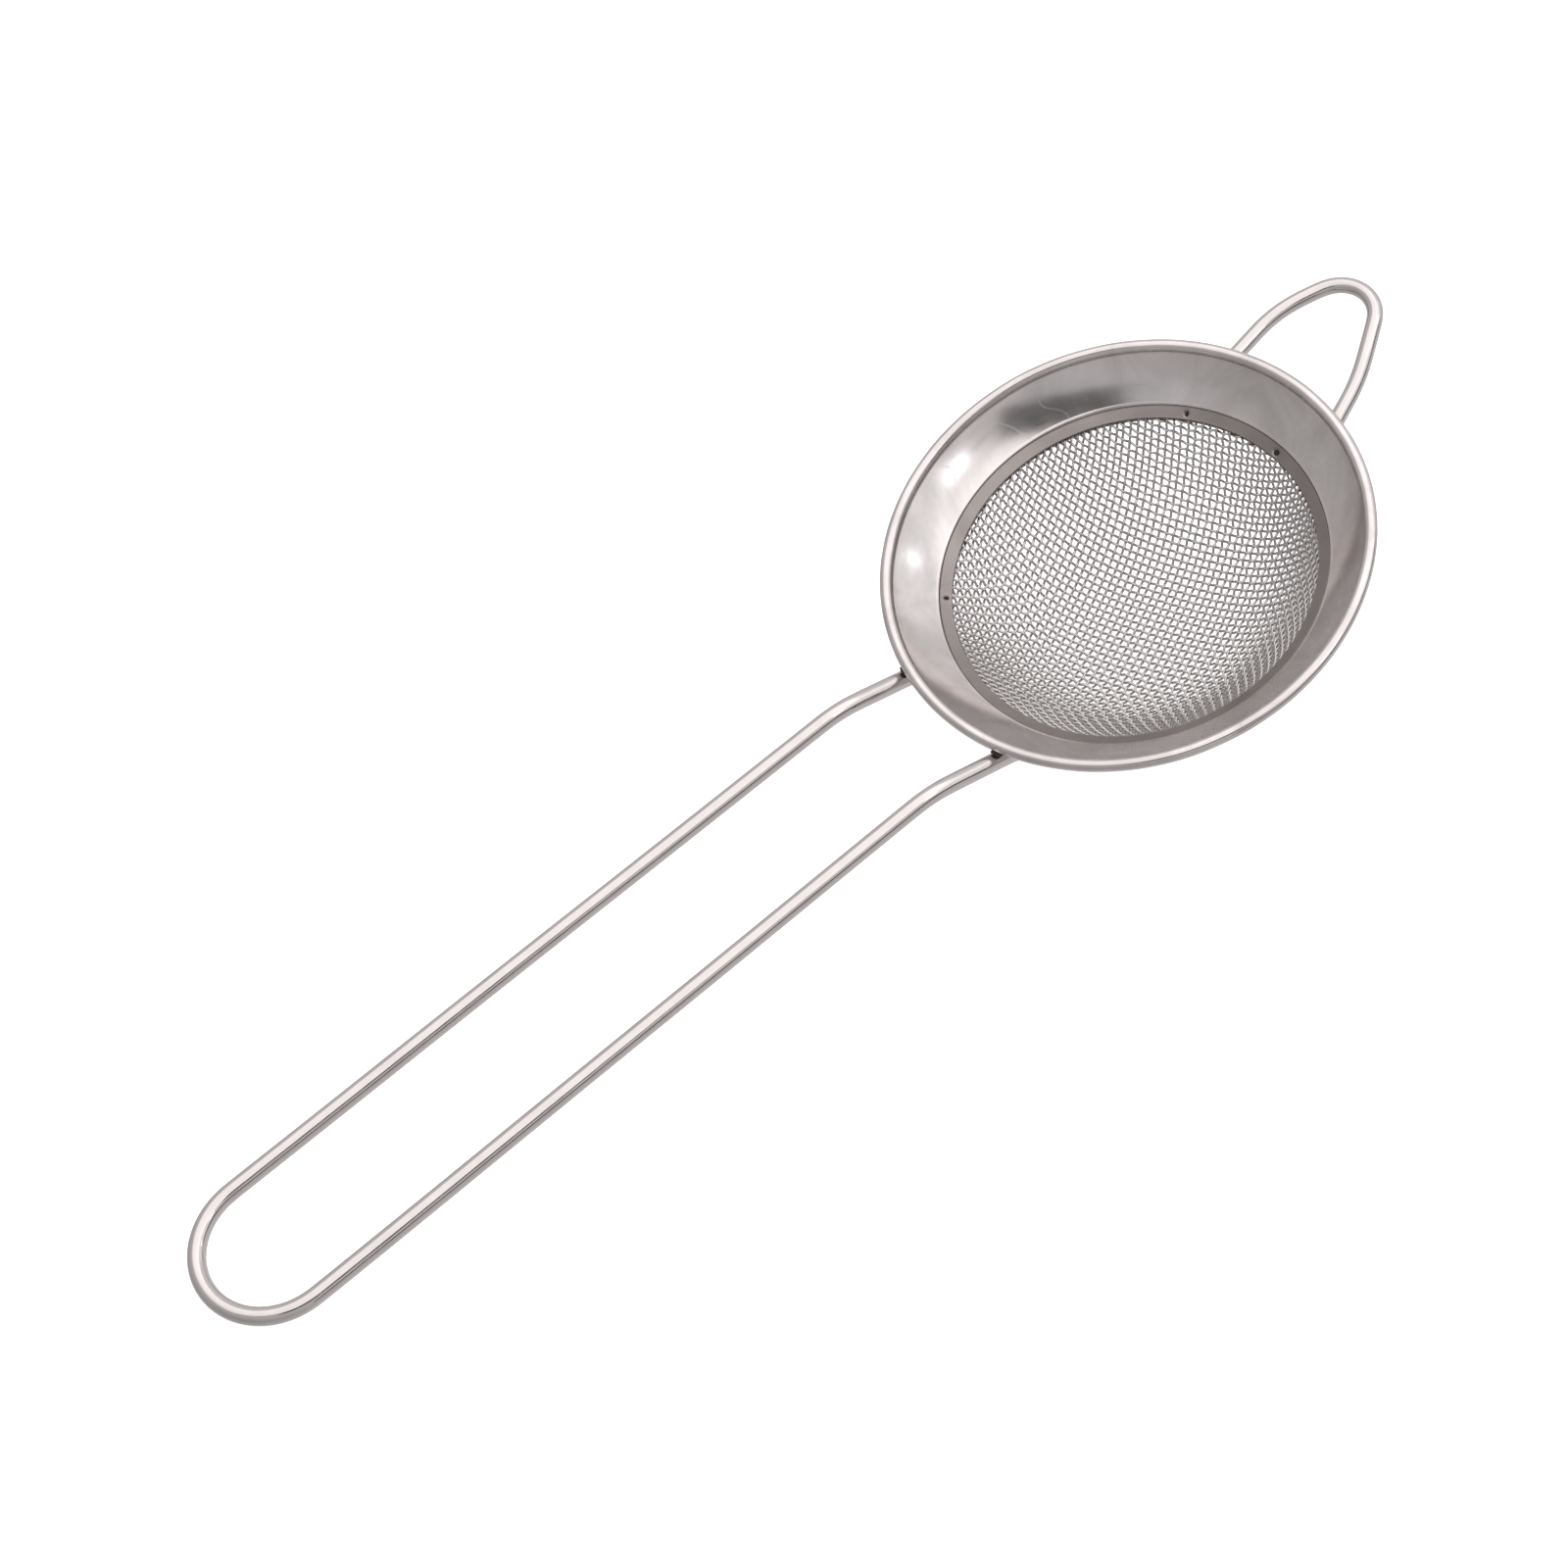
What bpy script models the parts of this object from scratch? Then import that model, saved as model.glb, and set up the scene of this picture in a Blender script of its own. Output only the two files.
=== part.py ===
"""Long-handled tea strainer: pressed steel rim, clamp ring, woven bowl, wire handle, wire rest ear.

Everything is drawn in the bowl's own frame (rim plane level, handle toward -X) and then hung
on one empty that lays the strainer down the way it rests on a table.
"""
import bpy
import math

OBJECT_NAME = "tea_strainer"
MM = 0.001

# rim: a pressed sheet with its outer edge curled into a bead
SHEET = 0.5 * MM
BEAD_RADIUS = 0.95 * MM
RIM_OUTER_RADIUS = 37.5 * MM
BEAD_CENTRE = RIM_OUTER_RADIUS - BEAD_RADIUS
NECK_RADIUS = 29.73 * MM
NECK_TOP = -5.91 * MM
CONE_SAG = 0.22 * MM
SHELF_TOP = -8.35 * MM
SHELF_INNER_RADIUS = 28.75 * MM

# ring that nips the edge of the woven bowl against the shelf
RING_OUTER_RADIUS = 29.40 * MM
RING_INNER_RADIUS = 27.94 * MM
RING_OUTER_TOP = -6.08 * MM
RING_INNER_TOP = -6.78 * MM
RING_BOTTOM = -7.35 * MM

# woven bowl, drawn here as a thin even skin
WEAVE_THICKNESS = 0.4 * MM
HEM_LEVEL = -7.85 * MM
HEM_RADIUS = 29.15 * MM
DOME_RADIUS = 27.9 * MM
DOME_TOP = -8.2 * MM
DOME_DEPTH = 17.7 * MM
DOME_POWER = 3.0

# wires
HANDLE_WIRE_RADIUS = 1.35 * MM
EAR_WIRE_RADIUS = 1.25 * MM
WELD_GAP = 0.3 * MM
HANDLE_HALF_NEAR = 10.6 * MM
HANDLE_HALF_FAR = 10.95 * MM
HANDLE_KINK = (47.6 * MM, 3.15 * MM)
HANDLE_RIM_POINT = (36.5 * MM, -2.4 * MM)
HANDLE_RISE = math.radians(6.5)
HANDLE_STRAIGHT = 112.7 * MM
EAR_TURN = math.radians(7.0)
EAR_ROOT_LEFT = 9.35 * MM
EAR_ROOT_RIGHT = -11.6 * MM
EAR_INNER_RADIUS = 32.05 * MM
EAR_BEND_RADIUS = 36.5 * MM
EAR_LEVEL = -2.55 * MM
EAR_SHOULDER_LEFT = (47.0 * MM, 9.1 * MM)
EAR_SHOULDER_RIGHT = (43.5 * MM, -9.6 * MM)
EAR_TIP_CENTRE = (50.6 * MM, 0.5 * MM)
EAR_TIP_RADIUS = 6.0 * MM

ROUND_STEPS = 72


def clear_scene():
    for obj in list(bpy.data.objects):
        bpy.data.objects.remove(obj, do_unlink=True)


def make_collection(name):
    coll = bpy.data.collections.new(name)
    bpy.context.scene.collection.children.link(coll)
    return coll


def steel(name, tint, roughness):
    mat = bpy.data.materials.new(name)
    mat.use_nodes = True
    bsdf = mat.node_tree.nodes["Principled BSDF"]
    bsdf.inputs["Base Color"].default_value = (tint, tint * 0.985, tint * 0.97, 1.0)
    bsdf.inputs["Metallic"].default_value = 1.0
    bsdf.inputs["Roughness"].default_value = roughness
    return mat


def turned(name, loop, coll, root, mat):
    """Spin a closed clockwise (radius, height) loop about the bowl axis."""
    mesh = bpy.data.meshes.new(name)
    edges = [(i, (i + 1) % len(loop)) for i in range(len(loop))]
    mesh.from_pydata([(r, 0.0, z) for r, z in loop], edges, [])
    obj = bpy.data.objects.new(name, mesh)
    coll.objects.link(obj)
    obj.parent = root
    spin = obj.modifiers.new("turn", "SCREW")
    spin.axis = "Z"
    spin.angle = 2.0 * math.pi
    spin.steps = ROUND_STEPS
    spin.render_steps = ROUND_STEPS
    spin.use_merge_vertices = True
    spin.merge_threshold = 0.00001
    spin.use_smooth_shade = True
    mesh.materials.append(mat)
    return obj


def wire(name, points, radius, coll, root, mat):
    """A round wire following a list of points, closed at both ends."""
    curve = bpy.data.curves.new(name, "CURVE")
    curve.dimensions = "3D"
    curve.bevel_depth = radius
    curve.bevel_resolution = 4
    curve.use_fill_caps = True
    spline = curve.splines.new("POLY")
    spline.points.add(len(points) - 1)
    for slot, point in zip(spline.points, points):
        slot.co = (point[0], point[1], point[2], 1.0)
    spline.use_smooth = True
    obj = bpy.data.objects.new(name, curve)
    coll.objects.link(obj)
    obj.parent = root
    curve.materials.append(mat)
    return obj


def arc(cx, cz, radius, start, end, count):
    """Points of a circular arc in degrees, both ends included."""
    out = []
    for i in range(count + 1):
        a = math.radians(start + (end - start) * i / count)
        out.append((cx + radius * math.cos(a), cz + radius * math.sin(a)))
    return out


def cone_line(count):
    """Top face of the dished cone, from the neck crease out to the curled bead."""
    start = (NECK_RADIUS, NECK_TOP)
    angle = cone_angle()
    length = 8.09 * MM
    out = []
    for i in range(count + 1):
        t = i / count
        sag = CONE_SAG * 4.0 * t * (1.0 - t)
        along = length * t
        r = start[0] + along * math.cos(angle) + sag * math.sin(angle)
        z = start[1] + along * math.sin(angle) - sag * math.cos(angle)
        out.append((r, z))
    return out


def cone_angle():
    return math.radians(42.15)


def rim_loop():
    """Closed section of the rim sheet: curled bead, dished cone, neck and inner shelf."""
    top = cone_line(6)
    nx = SHEET * math.sin(cone_angle())
    nz = SHEET * math.cos(cone_angle())
    under = [(r + nx, z - nz) for r, z in top]
    under[0] = (NECK_RADIUS + SHEET, under[0][1] - 0.06 * MM)
    loop = arc(BEAD_CENTRE, 0.0, BEAD_RADIUS, 208.0, -118.0, 22)
    loop += list(reversed(under[:-1]))
    loop.append((NECK_RADIUS + SHEET, SHELF_TOP - 0.3 * MM))
    loop.append((NECK_RADIUS + SHEET - 0.2 * MM, SHELF_TOP - SHEET))
    loop.append((SHELF_INNER_RADIUS + 0.1 * MM, SHELF_TOP - SHEET))
    loop.append((SHELF_INNER_RADIUS, SHELF_TOP - SHEET * 0.5))
    loop.append((SHELF_INNER_RADIUS + 0.1 * MM, SHELF_TOP))
    loop.append((NECK_RADIUS, SHELF_TOP))
    loop.append((NECK_RADIUS, NECK_TOP - 0.25 * MM))
    loop.append((NECK_RADIUS + 0.06 * MM, NECK_TOP - 0.04 * MM))
    loop += top[1:-1]
    return loop


def ring_loop():
    """Closed section of the clamp ring, its top face falling toward the middle."""
    return [
        (RING_INNER_RADIUS + 0.12 * MM, RING_INNER_TOP + 0.08 * MM),
        (RING_OUTER_RADIUS - 0.12 * MM, RING_OUTER_TOP),
        (RING_OUTER_RADIUS, RING_OUTER_TOP - 0.12 * MM),
        (RING_OUTER_RADIUS, RING_BOTTOM + 0.1 * MM),
        (RING_OUTER_RADIUS - 0.1 * MM, RING_BOTTOM),
        (RING_INNER_RADIUS + 0.15 * MM, RING_BOTTOM),
        (RING_INNER_RADIUS, RING_BOTTOM + 0.15 * MM),
        (RING_INNER_RADIUS, RING_INNER_TOP - 0.05 * MM),
    ]


def dome_height(r):
    """Level of the woven bowl's mid surface at radius r."""
    return DOME_TOP - DOME_DEPTH * (1.0 - (r / DOME_RADIUS) ** DOME_POWER)


def weave_line():
    """Open line of the woven bowl from the flat hem down to the middle."""
    line = [
        (HEM_RADIUS, HEM_LEVEL),
        (28.55 * MM, HEM_LEVEL),
        (28.2 * MM, HEM_LEVEL - 0.07 * MM),
        (28.0 * MM, HEM_LEVEL - 0.2 * MM),
    ]
    count = 15
    for i in range(count):
        r = DOME_RADIUS * math.cos(0.5 * math.pi * (i / count)) ** 0.85
        line.append((r, dome_height(r)))
    line.append((0.0, dome_height(0.0)))
    return line


def weave_bowl(name, coll, root, mat):
    """The woven bowl as a turned open surface made into an even skin."""
    line = weave_line()
    mesh = bpy.data.meshes.new(name)
    mesh.from_pydata([(r, 0.0, z) for r, z in line], [(i, i + 1) for i in range(len(line) - 1)], [])
    obj = bpy.data.objects.new(name, mesh)
    coll.objects.link(obj)
    obj.parent = root
    spin = obj.modifiers.new("turn", "SCREW")
    spin.axis = "Z"
    spin.angle = 2.0 * math.pi
    spin.steps = 48
    spin.render_steps = 48
    spin.use_merge_vertices = True
    spin.merge_threshold = 0.00001
    spin.use_smooth_shade = True
    skin = obj.modifiers.new("skin", "SOLIDIFY")
    skin.thickness = WEAVE_THICKNESS
    skin.offset = 0.0
    skin.use_even_offset = True
    mesh.materials.append(mat)
    return obj


def soften(points, reach, count):
    """Round the inner corners of a path; reach is how far from a corner each bend starts."""
    out = [points[0]]
    for i in range(1, len(points) - 1):
        before = points[i - 1]
        here = points[i]
        after = points[i + 1]
        r = reach[i - 1]
        a = step_toward(here, before, r)
        b = step_toward(here, after, r)
        for k in range(count + 1):
            t = k / count
            u = 1.0 - t
            out.append(tuple(u * u * a[j] + 2.0 * u * t * here[j] + t * t * b[j] for j in range(3)))
    out.append(points[-1])
    return out


def step_toward(start, goal, distance):
    span = math.dist(start, goal)
    return tuple(start[j] + (goal[j] - start[j]) * distance / span for j in range(3))


def under_cone(x, y, wire_radius):
    """Height at which a wire lies just clear of the cone's underside at (x, y)."""
    r = math.hypot(x, y)
    angle = cone_angle()
    drop = (SHEET + CONE_SAG + wire_radius + WELD_GAP) / math.cos(angle)
    return NECK_TOP + (r - NECK_RADIUS) * math.tan(angle) - drop


def handle_leg(side):
    """One leg of the handle from its welded end out to the start of the end loop."""
    y = side * HANDLE_HALF_NEAR
    kx, kz = HANDLE_KINK
    rx, rz = HANDLE_RIM_POINT
    slope = (kz - rz) / (kx - rx)
    inner_x = 30.2 * MM
    bend_x = 33.4 * MM
    inner = (-inner_x, y, under_cone(inner_x, y, HANDLE_WIRE_RADIUS))
    bend = (-bend_x, y, rz - slope * (rx - bend_x) - 0.12 * MM)
    kink = (-kx, y, kz)
    far_x = kx + HANDLE_STRAIGHT * math.cos(HANDLE_RISE)
    far_z = kz + HANDLE_STRAIGHT * math.sin(HANDLE_RISE)
    far = (-far_x, side * HANDLE_HALF_FAR, far_z)
    return soften([inner, bend, kink, far], [1.4 * MM, 3.4 * MM], 6)


def handle_path():
    left = handle_leg(1.0)
    right = handle_leg(-1.0)
    cx, _, cz = left[-1]
    loop = []
    count = 20
    for i in range(1, count):
        a = math.pi * i / count
        out = HANDLE_HALF_FAR * math.sin(a)
        y = HANDLE_HALF_FAR * math.cos(a)
        loop.append((cx - out * math.cos(HANDLE_RISE), y, cz + out * math.sin(HANDLE_RISE)))
    return left + loop + list(reversed(right))


def tip_tangent(shoulder, side):
    """Angle on the tip arc where a straight leg from the shoulder meets it as a tangent."""
    dx = shoulder[0] - EAR_TIP_CENTRE[0]
    dy = shoulder[1] - EAR_TIP_CENTRE[1]
    return math.atan2(dy, dx) - side * math.acos(EAR_TIP_RADIUS / math.hypot(dx, dy))


def on_tip(angle):
    """A point of the ear's tip arc."""
    x = EAR_TIP_CENTRE[0] + EAR_TIP_RADIUS * math.cos(angle)
    y = EAR_TIP_CENTRE[1] + EAR_TIP_RADIUS * math.sin(angle)
    return (x, y, EAR_LEVEL)


def ear_leg(root_y, shoulder, side, reach):
    """One leg of the ear from its welded end out to where the tip arc begins."""
    inner_x = math.sqrt(EAR_INNER_RADIUS ** 2 - root_y ** 2)
    bend_x = math.sqrt(EAR_BEND_RADIUS ** 2 - root_y ** 2)
    inner = (inner_x, root_y, under_cone(inner_x, root_y, EAR_WIRE_RADIUS))
    bend = (bend_x, root_y, EAR_LEVEL)
    corner = (shoulder[0], shoulder[1], EAR_LEVEL)
    end = on_tip(tip_tangent(shoulder, side))
    return soften([inner, bend, corner, end], [1.6 * MM, reach], 5)


def ear_path():
    left = ear_leg(EAR_ROOT_LEFT, EAR_SHOULDER_LEFT, 1.0, 5.0 * MM)
    right = ear_leg(EAR_ROOT_RIGHT, EAR_SHOULDER_RIGHT, -1.0, 4.0 * MM)
    start = tip_tangent(EAR_SHOULDER_LEFT, 1.0)
    end = tip_tangent(EAR_SHOULDER_RIGHT, -1.0)
    count = 16
    tip = [on_tip(start + (end - start) * i / count) for i in range(1, count)]
    flat = left + tip + list(reversed(right))
    c = math.cos(EAR_TURN)
    s = math.sin(EAR_TURN)
    return [(x * c - y * s, x * s + y * c, z) for x, y, z in flat]


def lowest_of_bowl(tilt):
    """Lowest level of the bowl's outer face for a given tilt."""
    best = 1.0
    for i in range(401):
        r = DOME_RADIUS * 0.8 * i / 400
        z = -r * math.sin(tilt) + dome_height(r) * math.cos(tilt)
        best = min(best, z - 0.5 * WEAVE_THICKNESS)
    return best


def lowest_of_handle(tilt, path):
    best = 1.0
    for x, _, z in path:
        best = min(best, x * math.sin(tilt) + z * math.cos(tilt) - HANDLE_WIRE_RADIUS)
    return best


def resting_tilt(path):
    """Tilt at which the bowl and the end of the handle touch the table together."""
    low = 0.0
    high = math.radians(40.0)
    for _ in range(50):
        mid = 0.5 * (low + high)
        if lowest_of_handle(mid, path) > lowest_of_bowl(mid):
            low = mid
        else:
            high = mid
    return 0.5 * (low + high)


def main():
    clear_scene()
    coll = make_collection(OBJECT_NAME)
    root = bpy.data.objects.new("resting_frame", None)
    coll.objects.link(root)
    handle = handle_path()
    ear = ear_path()
    turned("rim_flange", rim_loop(), coll, root, steel("rim_steel", 0.62, 0.22))
    turned("clamp_ring", ring_loop(), coll, root, steel("ring_steel", 0.55, 0.28))
    weave_bowl("woven_bowl", coll, root, steel("weave_steel", 0.60, 0.30))
    wire("handle_wire", handle, HANDLE_WIRE_RADIUS, coll, root, steel("handle_steel", 0.64, 0.20))
    wire("rest_ear_wire", ear, EAR_WIRE_RADIUS, coll, root, steel("ear_steel", 0.64, 0.20))
    tilt = resting_tilt(handle)
    end_x = min(x * math.cos(tilt) - z * math.sin(tilt) for x, _, z in handle) - HANDLE_WIRE_RADIUS
    tip_x = max(x * math.cos(tilt) - z * math.sin(tilt) for x, _, z in ear) + EAR_WIRE_RADIUS
    root.rotation_euler = (0.0, -tilt, 0.0)
    root.location = (-0.5 * (end_x + tip_x), 0.0, -lowest_of_bowl(tilt))
    bpy.context.view_layer.update()
    print("tilt", round(math.degrees(tilt), 3), "end to end mm", round((tip_x - end_x) * 1000.0, 2))
    print("frame origin mm", [round(v * 1000.0, 3) for v in root.location])


main()
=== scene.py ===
# %% [markdown]
# # A long-handled tea strainer
# The strainer is five pieces of stainless steel: a flared rim pressed from sheet, a ring that
# clamps the woven bowl into it, the bowl itself, a long handle bent from one wire, and a short
# wire ear that rests on the lip of a cup. The solid model already fixes every size. Here each
# piece is made again with the detail that the eye and the light need.

# %% Load the solid model
import math

import bmesh
import bpy
import numpy as np
from mathutils import Matrix, Vector, noise


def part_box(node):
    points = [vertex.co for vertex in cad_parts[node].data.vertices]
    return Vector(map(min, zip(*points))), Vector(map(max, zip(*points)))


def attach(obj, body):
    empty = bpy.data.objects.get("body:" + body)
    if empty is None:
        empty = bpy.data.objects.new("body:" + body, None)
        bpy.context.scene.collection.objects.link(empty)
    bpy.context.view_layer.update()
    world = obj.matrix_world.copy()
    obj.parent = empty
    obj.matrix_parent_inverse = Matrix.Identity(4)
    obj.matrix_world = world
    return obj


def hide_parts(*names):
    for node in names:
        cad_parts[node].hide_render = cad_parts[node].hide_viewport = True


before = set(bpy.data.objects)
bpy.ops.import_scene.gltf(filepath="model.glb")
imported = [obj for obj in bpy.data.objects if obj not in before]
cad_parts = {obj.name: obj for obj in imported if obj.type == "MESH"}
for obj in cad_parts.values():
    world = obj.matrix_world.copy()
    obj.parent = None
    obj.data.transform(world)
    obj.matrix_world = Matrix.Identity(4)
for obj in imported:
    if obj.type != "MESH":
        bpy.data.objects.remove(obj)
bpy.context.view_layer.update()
MM = 0.001
print("pieces in the frame:", sorted(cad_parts))

# %% [markdown]
# ## Lay the work out on the bowl's own axis
# A strainer lying on a table leans: the end of its handle and the bottom of its bowl touch down
# together. It is far easier to turn a bowl when its axis stands upright, so every piece below is
# drawn upright and then leaned over as a whole. The lean is read from the rim: a bead of known
# radius that leans looks narrower from above, and the cosine of the lean is the ratio.

# %% Find the lean and the centre of the rim
BEAD_RADIUS = 0.95 * MM
RIM_RADIUS = 37.5 * MM
BEAD_CENTRE = RIM_RADIUS - BEAD_RADIUS

rim_low, rim_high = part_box("rim_flange")
half_width = 0.5 * (rim_high[0] - rim_low[0])
LEAN = math.acos((half_width - BEAD_RADIUS) / BEAD_CENTRE)
centre_x = 0.5 * (rim_high[0] + rim_low[0])
centre_z = rim_high[2] - BEAD_RADIUS - BEAD_CENTRE * math.sin(LEAN)
BOWL_FRAME = Matrix.Translation((centre_x, 0.0, centre_z)) @ Matrix.Rotation(-LEAN, 4, "Y")
print("lean in degrees:", round(math.degrees(LEAN), 2), "rim height mm:", round(centre_z / MM, 2))


def seat(obj, node, *stands_for):
    """Lean a finished piece over with the bowl, tie it to the body and hide the solid parts it stands for."""
    obj.data.transform(BOWL_FRAME)
    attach(obj, "root")
    if stands_for:
        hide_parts(*stands_for)
    return obj


def mesh_object(name, points, faces, finish):
    """A smooth-shaded mesh object made from arrays of points and quads."""
    mesh = bpy.data.meshes.new(name)
    mesh.from_pydata([tuple(p) for p in points], [], [tuple(f) for f in faces])
    mesh.polygons.foreach_set("use_smooth", [True] * len(mesh.polygons))
    mesh.materials.append(finish)
    mesh.update()
    obj = bpy.data.objects.new(name, mesh)
    bpy.context.scene.collection.objects.link(obj)
    return obj


# %% [markdown]
# ## Steel finishes
# All the steel is the same alloy, but each piece has been worked in its own way, and that is what
# the eye reads. Pressed and polished sheet keeps fine rings from the polishing wheel, so its
# shine stretches across the rings. Drawn wire keeps faint lines along its length. The shader
# gets a metal colour, a base roughness, and then noise in the right direction for each craft.

# %% A small helper for shader nodes
STEEL_TINT = (0.670, 0.634, 0.626)


def new_finish(name, tint, roughness):
    """A metal material with its node tree and main shader ready to be worked on."""
    material = bpy.data.materials.new(name)
    material.use_nodes = True
    shader = material.node_tree.nodes["Principled BSDF"]
    shader.inputs["Base Color"].default_value = (*tint, 1.0)
    shader.inputs["Metallic"].default_value = 1.0
    shader.inputs["Roughness"].default_value = roughness
    return material, material.node_tree, shader


def add(tree, kind, **values):
    """Add one node; a value goes to the input of that name, or else to the node's own setting."""
    node = tree.nodes.new(kind)
    for key, value in values.items():
        label = key.replace("_", " ")
        if label in node.inputs:
            node.inputs[label].default_value = value
        else:
            setattr(node, key, value)
    return node


def calculate(tree, operation, first, second=None):
    """One arithmetic step between sockets or plain numbers."""
    node = add(tree, "ShaderNodeMath", operation=operation)
    for socket, item in zip(node.inputs, (first, second)):
        if item is None:
            continue
        if isinstance(item, (int, float)):
            socket.default_value = item
        else:
            tree.links.new(item, socket)
    return node.outputs[0]


def spread(tree, factor, low, high):
    """Map a 0 to 1 factor onto a range."""
    node = add(tree, "ShaderNodeMapRange")
    node.inputs["To Min"].default_value = low
    node.inputs["To Max"].default_value = high
    tree.links.new(factor, node.inputs["Value"])
    return node.outputs["Result"]


def tone(tree, factor, dark, light):
    """Blend two tints by a factor."""
    node = add(tree, "ShaderNodeMix", data_type="RGBA")
    node.inputs[6].default_value = (*dark, 1.0)
    node.inputs[7].default_value = (*light, 1.0)
    tree.links.new(factor, node.inputs["Factor"])
    return node.outputs[2]


# %% [markdown]
# ### Wheel-polished sheet
# On the rim the polish lines run round the bowl. To draw noise that way, the point is first stood
# upright on the bowl's axis. Its direction from the axis then changes the noise slowly, and its
# distance from the axis changes it quickly, which leaves long thin rings with no seam. The same
# steel also has cloudy patches where it was handled.

# %% Polished sheet with rings


def ring_coordinates(tree, across, along):
    """Coordinates that change slowly round the bowl and quickly across it, for noise in rings."""
    place = add(tree, "ShaderNodeTexCoord").outputs["Object"]
    upright = add(tree, "ShaderNodeMapping", vector_type="TEXTURE")
    upright.inputs["Location"].default_value = (centre_x, 0.0, centre_z)
    upright.inputs["Rotation"].default_value = (0.0, -LEAN, 0.0)
    tree.links.new(place, upright.inputs["Vector"])
    parts = add(tree, "ShaderNodeSeparateXYZ")
    tree.links.new(upright.outputs[0], parts.inputs[0])
    x, y, z = parts.outputs
    radius = calculate(tree, "SQRT", calculate(tree, "ADD", calculate(tree, "MULTIPLY", x, x),
                                               calculate(tree, "MULTIPLY", y, y)))
    walked = calculate(tree, "ADD", radius, calculate(tree, "MULTIPLY", z, 0.7))
    joined = add(tree, "ShaderNodeCombineXYZ")
    for item, slot in ((x, 0), (y, 1)):
        whole_turn = calculate(tree, "DIVIDE", item, radius)
        tree.links.new(calculate(tree, "MULTIPLY", whole_turn, along), joined.inputs[slot])
    tree.links.new(calculate(tree, "MULTIPLY", walked, across), joined.inputs[2])
    return joined.outputs[0], upright.outputs[0]


def polished_sheet(name, tint, roughness, line_depth):
    """Sheet steel finished on a wheel: fine rings, cloudy handling marks, a stretched shine."""
    material, tree, shader = new_finish(name, tint, roughness)
    rings_at, place = ring_coordinates(tree, 9000.0, 5.0)
    rings = add(tree, "ShaderNodeTexNoise", Scale=1.0, Detail=3.0, Roughness=0.6)
    tree.links.new(rings_at, rings.inputs["Vector"])
    clouds = add(tree, "ShaderNodeTexNoise", Scale=75.0, Detail=6.0, Roughness=0.6, Distortion=0.8)
    tree.links.new(place, clouds.inputs["Vector"])
    scuffs = add(tree, "ShaderNodeTexNoise", Scale=900.0, Detail=2.0, Roughness=0.5)
    tree.links.new(place, scuffs.inputs["Vector"])
    scratches = add(tree, "ShaderNodeTexWave", Scale=34.0, Distortion=26.0, Detail=3.0)
    tree.links.new(place, scratches.inputs["Vector"])
    scratched = calculate(tree, "GREATER_THAN", scratches.outputs[1], 0.994)
    both = calculate(tree, "ADD", calculate(tree, "MULTIPLY", rings.outputs[0], 0.45),
                     calculate(tree, "MULTIPLY", clouds.outputs[0], 0.55))
    both = calculate(tree, "ADD", both, calculate(tree, "MULTIPLY", scratched, 0.45))
    tree.links.new(spread(tree, both, roughness - 0.06, roughness + 0.10), shader.inputs["Roughness"])
    dark = tuple(c * 0.80 for c in tint)
    light = tuple(min(1.0, c * 1.16) for c in tint)
    cloudy = spread(tree, clouds.outputs[0], -0.55, 1.55)
    tree.links.new(tone(tree, cloudy, dark, light), shader.inputs["Base Color"])
    bump = add(tree, "ShaderNodeBump", Strength=0.35, Distance=line_depth)
    tree.links.new(calculate(tree, "ADD", rings.outputs[0],
                             calculate(tree, "MULTIPLY", scuffs.outputs[0], 0.12)), bump.inputs["Height"])
    tree.links.new(bump.outputs[0], shader.inputs["Normal"])
    shader.inputs["Anisotropic"].default_value = 0.55
    tangent = add(tree, "ShaderNodeTangent", direction_type="UV_MAP", uv_map="ring_map")
    tree.links.new(tangent.outputs[0], shader.inputs["Tangent"])
    return material


rim_finish = polished_sheet("polished_rim_sheet", STEEL_TINT, 0.15, 0.000004)
# The clamp ring and the crushed hem are the same steel as the rim, but their tint is far darker. That is
# painted shade, for the steep ring sunk in the neck.
dark_shaded_ring_finish = polished_sheet("clamp_ring_sheet_painted_shade", (0.30, 0.272, 0.262), 0.30, 0.000008)

# %% [markdown]
# ### Drawn wire
# Wire is pulled through a die, which leaves faint lines along it. Each wire below carries a map
# whose first number is the distance along the wire and whose second is the way round it, so the
# noise can be stretched along the wire however it bends.

# %% Drawn wire with lengthwise lines


def drawn_wire(name, tint, roughness, line_depth, patch_scale):
    """Polished wire: lines along it, soft patches of wear."""
    material, tree, shader = new_finish(name, tint, roughness)
    sheet_map = add(tree, "ShaderNodeUVMap", uv_map="wire_map")
    stretch = add(tree, "ShaderNodeMapping")
    stretch.inputs["Scale"].default_value = (0.35, 26.0, 1.0)
    tree.links.new(sheet_map.outputs[0], stretch.inputs["Vector"])
    lines = add(tree, "ShaderNodeTexNoise", Scale=1.0, Detail=4.0, Roughness=0.6)
    tree.links.new(stretch.outputs[0], lines.inputs["Vector"])
    place = add(tree, "ShaderNodeTexCoord").outputs["Object"]
    patches = add(tree, "ShaderNodeTexNoise", Scale=patch_scale, Detail=4.0, Roughness=0.6)
    tree.links.new(place, patches.inputs["Vector"])
    both = calculate(tree, "ADD", calculate(tree, "MULTIPLY", lines.outputs[0], 0.4),
                     calculate(tree, "MULTIPLY", patches.outputs[0], 0.6))
    tree.links.new(spread(tree, both, roughness - 0.05, roughness + 0.12), shader.inputs["Roughness"])
    dark = tuple(c * 0.88 for c in tint)
    light = tuple(min(1.0, c * 1.06) for c in tint)
    tree.links.new(tone(tree, patches.outputs[0], dark, light), shader.inputs["Base Color"])
    bump = add(tree, "ShaderNodeBump", Strength=0.3, Distance=line_depth)
    tree.links.new(lines.outputs[0], bump.inputs["Height"])
    tree.links.new(bump.outputs[0], shader.inputs["Normal"])
    return material


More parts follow.
